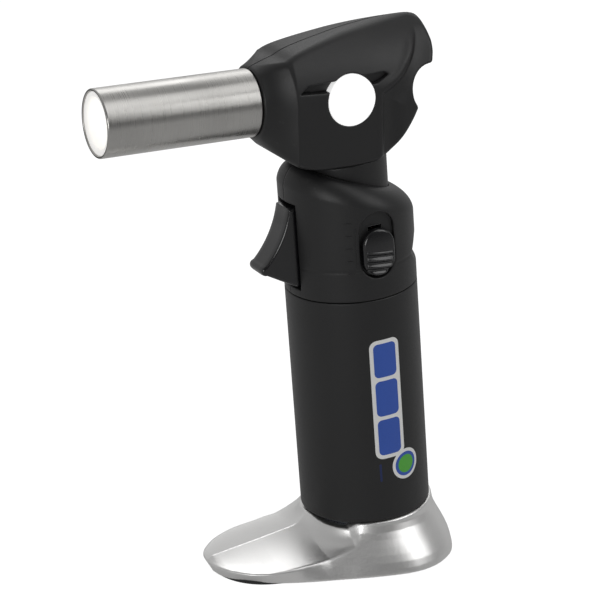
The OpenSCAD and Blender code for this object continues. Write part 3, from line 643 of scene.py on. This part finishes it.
finish = {
    "soft_black": shader("soft_black", (0.012, 0.012, 0.0125), 0.45, grain=2600, bump=0.35, wear=0.15),
    "gloss_black": shader("gloss_black", (0.006, 0.006, 0.007), 0.2, grain=700, bump=0.05, coat=0.4,
                          wear=0.1),
    # white_plastic carries a painted glow: it gives off light of its own though it is no lamp, so the sleeve in
    # the peg hole reads near white
    "white_plastic": shader("white_plastic", (0.86, 0.86, 0.85), 0.4, vary=0.02, grain=1500, glow=0.55),
    "stainless": shader("stainless", (0.56, 0.55, 0.53), 0.3, metal=1, vary=0.1, grain=60, bump=0.25,
                        depth=0.00004, stretch=(90, 1.2, 1.2), aniso=0.6),
    "ceramic": shader("ceramic", (0.8, 0.78, 0.74), 0.75, vary=0.03, grain=2200, bump=0.3),
    "brass": shader("brass", (0.72, 0.5, 0.22), 0.3, metal=1, vary=0.12, grain=40, stretch=(1, 1, 60),
                    wear=0.3),
    "steel": shader("steel", (0.58, 0.58, 0.6), 0.32, metal=1, vary=0.1, grain=1200, wear=0.3),
    "nickel": shader("nickel", (0.9, 0.895, 0.885), 0.36, metal=1, vary=0.03, grain=2400, bump=0.12),
    "rubber": shader("rubber", (0.02, 0.02, 0.021), 0.8, grain=1800, bump=0.5, sheen=0.1),
    "hose": shader("hose", (0.62, 0.57, 0.47), 0.4, vary=0.06, grain=500),
    "wire": shader("wire", (0.12, 0.012, 0.01), 0.45, vary=0.1, grain=700),
    "tank": shader("tank", (0.05, 0.055, 0.065), 0.35, vary=0.1, grain=600),
    "wick": shader("wick", (0.8, 0.77, 0.68), 0.9, vary=0.1, grain=900, bump=0.8, sheen=0.3),
    "dark_plastic": shader("dark_plastic", (0.02, 0.02, 0.022), 0.5, grain=1500, bump=0.3, wear=0.3),
}
# Ceramic with a painted glow: it gives off light of its own though the torch is not burning, so the inside of the
# mouth looks brighter
ceramic_painted_glow = shader("ceramic_painted_glow", (0.9, 0.88, 0.84), 0.75, vary=0.03, grain=2200, bump=0.3, glow=0.35)
ink_white = shader("ink_white", (0.84, 0.84, 0.83), 0.45, vary=0.03, grain=1800, bump=0.15)
ink_blue = shader("ink_blue", (0.035, 0.1, 0.45), 0.42, vary=0.06, grain=1800, bump=0.15)
ink_navy = shader("ink_navy", (0.01, 0.02, 0.09), 0.5, vary=0.06, grain=1800, bump=0.15)
ink_green = shader("ink_green", (0.09, 0.42, 0.05), 0.42, vary=0.06, grain=1800, bump=0.15)


def dress(thing, body, slot, *nodes, material=None):
    thing.data.materials.clear()
    thing.data.materials.append(material or finish[slot])
    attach(thing, body)
    if nodes:
        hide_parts(*nodes)
    return thing


# ---------- the pieces ----------

PAST_MIDDLE = 0.9
for side, word in ((-1, "left"), (1, "right")):
    low = (-40, -15 if side < 0 else -PAST_MIDDLE, 122)
    high = (19, PAST_MIDDLE if side < 0 else 15, 167)
    dress(surface("head_" + word, head_shell(side), low, high, 0.3),
          "torch", "soft_black", "head_shell_" + word)
    low = (-21, -21 if side < 0 else -PAST_MIDDLE, 84.8)
    high = (21, PAST_MIDDLE if side < 0 else 21, 128.5)
    dress(surface("grip_" + word, grip_shell(side), low, high, 0.3, body=True),
          "torch", "soft_black", "body_shell_" + word)
dress(surface("hole_sleeve", hole_liner, (HOLE_X - 9.5, -15, 135), (HOLE_X + 9.5, 15, 154), 0.25),
      "torch", "white_plastic", "hole_liner")
dress(surface("neck", neck_collar, (-25, -16, 106), (6, 16, 136), 0.35), "torch", "soft_black", "neck_collar")
dress(surface("trigger_blade", trigger, (-32, -5.4, 87.5), (-9, 5.4, 115.5), 0.18, body=True),
      "trigger", "gloss_black", "trigger")
dress(surface("slide_button", lock_button, (-6, -22.2, 92), (6, -14, 108.4), 0.16, body=True),
      "lock_slide", "gloss_black", "lock_button")
dress(surface("adjuster_wheel", flame_wheel, (3.8, -7.8, 92.7), (19.2, 7.8, 97.5), 0.18, body=True),
      "flame_wheel", "dark_plastic", "flame_wheel")
dress(surface("foot", base_foot, (-57, -31, -2.2), (28, 31, 16.5), 0.4), "torch", "nickel", "base_foot")

SLEEVE_BORE_R = 18.1
sleeve = rounded([(BODY_R, RIM + 0.05), (BODY_R, SEAM - 0.1), (SLEEVE_BORE_R, SEAM - 0.1),
                  (SLEEVE_BORE_R, RIM + 0.05)], [0.4, 0.35, 0.2, 0.2])
dress(lathe("sleeve", sleeve, on_body, 192), "torch", "soft_black", "lower_sleeve")
bore = BARREL_R - 0.8
root = BARREL_R - 0.5
tube = rounded([(root, -31), (root, -39.3), (BARREL_R, -39.3), (BARREL_R, MOUTH_X), (bore + 0.05, MOUTH_X),
                (bore + 0.05, -40.2), (root - 0.6, -40.2), (root - 0.6, -31)],
               [0, 0, 0.25, 0.42, 0.3, 0, 0, 0])
dress(lathe("flame_tube", tube, on_barrel, 192), "torch", "stainless", "barrel_tube")
LINER_BORE_R = 7.4
liner = rounded([(bore - 0.05, -60), (bore - 0.05, MOUTH_X + 0.35), (LINER_BORE_R, MOUTH_X + 0.35),
                 (LINER_BORE_R, -60)], [0.2, 0.3, 0.9, 0.2])
# The burner liner wears the ceramic with painted glow, not the plain ceramic finish
dress(lathe("burner_liner", liner, on_barrel, 144), "torch", "ceramic", "ceramic_liner", material=ceramic_painted_glow)

# The label: a white panel, three blue bars and a green spot with a blue ring
panel = rounded_rows(-0.2, 4.9, 34.0, 72.6, 2.4)
dress(patch("label_panel", panel, 0.05), "torch", "white_plastic", material=ink_white)
for i, (low, high) in enumerate(((60.6, 71.4), (48.0, 59.4), (35.2, 46.8))):
    bar = rounded_rows(-0.2, 3.7, low, high, 1.5)
    dress(patch("label_bar_%d" % (i + 1), bar, 0.08), "torch", "white_plastic", material=ink_blue)
SPOT_S = 30.4
for word, r, rise, ink in (("edge", 4.9, 0.06, ink_white), ("ring", 3.9, 0.09, ink_blue),
                           ("spot", 2.9, 0.12, ink_green)):
    disc = rounded_rows(5.0, r, SPOT_S - r, SPOT_S + r, r - 0.05, 14)
    dress(patch("label_" + word, disc, rise), "torch", "white_plastic", material=ink)
line = rounded_rows(-3.8, 0.35, 26.6, 32.4, 0.3)
dress(patch("label_line", line, 0.04), "torch", "white_plastic", material=ink_navy)

# Raised ticks and a plain bar beside the slide
for i in range(5):
    s = 94.6 + 3.9 * i
    tick = rounded_rows(-9.0, 0.9, s - 0.18, s + 0.18, 0.15, 3)
    dress(patch("scale_tick_%d" % (i + 1), tick, 0.22, 8), "torch", "soft_black")
bar = rounded_rows(-6.8, 0.17, 96.5, 108.4, 0.15, 3)
dress(patch("scale_bar", bar, 0.2, 6), "torch", "soft_black")

# Carried-over inner parts take their finish from the record's slots
slot_of = {p["node"]: p["material_slot"] for p in record["subparts"]}
for name, node in frame["nodes"].items():
    node.data.materials.clear()
    node.data.materials.append(finish[slot_of[name]])
    if slot_of[name] in ("steel", "brass", "nickel"):
        soft = node.modifiers.new("edge", "BEVEL")
        soft.width, soft.segments, soft.limit_method = 0.00008, 2, "ANGLE"


# ---------- floor, light and camera ----------

def along_y(tree, space):
    where = tree.nodes.new("ShaderNodeTexCoord")
    apart = tree.nodes.new("ShaderNodeSeparateXYZ")
    tree.links.new(where.outputs[space], apart.inputs[0])
    return apart.outputs["Y"]


def ramp_node(tree, source, low, high, out_low, out_high):
    n = tree.nodes.new("ShaderNodeMapRange")
    n.interpolation_type = "SMOOTHSTEP"
    for key, value in zip(("From Min", "From Max", "To Min", "To Max"), (low, high, out_low, out_high)):
        n.inputs[key].default_value = value
    tree.links.new(source, n.inputs["Value"])
    return n.outputs["Result"]


def white_to_the_eye(tree, strength, seen, target):
    """Seen directly, the surroundings are plain white. The light that they throw has its own strength."""
    path = tree.nodes.new("ShaderNodeLightPath")
    pick = tree.nodes.new("ShaderNodeMix")
    pick.data_type = "FLOAT"
    tree.links.new(path.outputs["Is Camera Ray"], pick.inputs[0])
    tree.links.new(strength, pick.inputs[2])
    pick.inputs[3].default_value = seen
    tree.links.new(pick.outputs[0], target)


middle = (cad_box[0] + cad_box[1]) / 2
floor_mesh = bpy.data.meshes.new("floor")
FLOOR_HALF = 6
corners = [(-FLOOR_HALF, -FLOOR_HALF, 0), (FLOOR_HALF, -FLOOR_HALF, 0),
           (FLOOR_HALF, FLOOR_HALF, 0), (-FLOOR_HALF, FLOOR_HALF, 0)]
floor_mesh.from_pydata(corners, [], [(0, 1, 2, 3)])
floor = bpy.data.objects.new("floor", floor_mesh)
bpy.context.scene.collection.objects.link(floor)
paper = bpy.data.materials.new("paper")
paper.use_nodes = True
tree = paper.node_tree
bsdf = tree.nodes["Principled BSDF"]
bsdf.inputs["Base Color"].default_value = (0.35, 0.35, 0.35, 1)
bsdf.inputs["Roughness"].default_value = 0.95
bsdf.inputs["Specular IOR Level"].default_value = 0.0
bsdf.inputs["Emission Color"].default_value = (1, 1, 1, 1)
front_to_back = ramp_node(tree, along_y(tree, "Object"), -0.35, 0.35, 0.12, 0.3)
white_to_the_eye(tree, front_to_back, 0.9, bsdf.inputs["Emission Strength"])
floor.data.materials.append(paper)

scene = bpy.context.scene
world = bpy.data.worlds.new("studio")
scene.world = world
world.use_nodes = True
tree = world.node_tree
back = tree.nodes["Background"]
back.inputs["Color"].default_value = (1, 1, 1, 1)
front_to_back = ramp_node(tree, along_y(tree, "Generated"), -0.8, 0.8, 0.12, 0.5)
white_to_the_eye(tree, front_to_back, 1.0, back.inputs["Strength"])


def direction(azimuth, elevation):
    """From the object towards a light or the camera. Azimuth 0 is on the -Y side."""
    a, e = math.radians(azimuth), math.radians(elevation)
    return Vector((math.sin(a) * math.cos(e), -math.cos(a) * math.cos(e), math.sin(e)))


def softbox(name, azimuth, elevation, distance, size, power):
    light = bpy.data.lights.new(name, "AREA")
    light.shape, light.size, light.size_y, light.energy = "RECTANGLE", size[0], size[1], power
    lamp = bpy.data.objects.new(name, light)
    toward = direction(azimuth, elevation)
    lamp.location = middle + toward * distance
    lamp.rotation_euler = toward.to_track_quat("Z", "Y").to_euler()
    scene.collection.objects.link(lamp)


softbox("key", -46, 12, 0.9, (0.4, 0.35), 1.9)
softbox("right", 44, 30, 0.9, (0.5, 0.5), 1.6)
softbox("over", 150, 42, 1.0, (0.7, 0.4), 1.3)
softbox("top", 40, 62, 0.9, (0.5, 0.4), 0.7)

AZIMUTH, ELEVATION, ROLL = -26.415, 19.909, -0.4051
aim = Vector((middle[0] + 0.0070, 0, middle[2] - 0.0006))
DISTANCE = 0.75116
back_way = direction(AZIMUTH, ELEVATION)
camera = bpy.data.cameras.new("camera")
camera.lens, camera.sensor_width = 150.77, 36
camera_object = bpy.data.objects.new("camera", camera)
turn = back_way.to_track_quat("Z", "Y").to_matrix().to_4x4() @ Matrix.Rotation(math.radians(ROLL), 4, "Z")
camera_object.matrix_world = Matrix.Translation(aim + back_way * DISTANCE) @ turn
scene.collection.objects.link(camera_object)
scene.camera = camera_object
scene.view_settings.view_transform = "Standard"
scene.view_settings.look = "None"
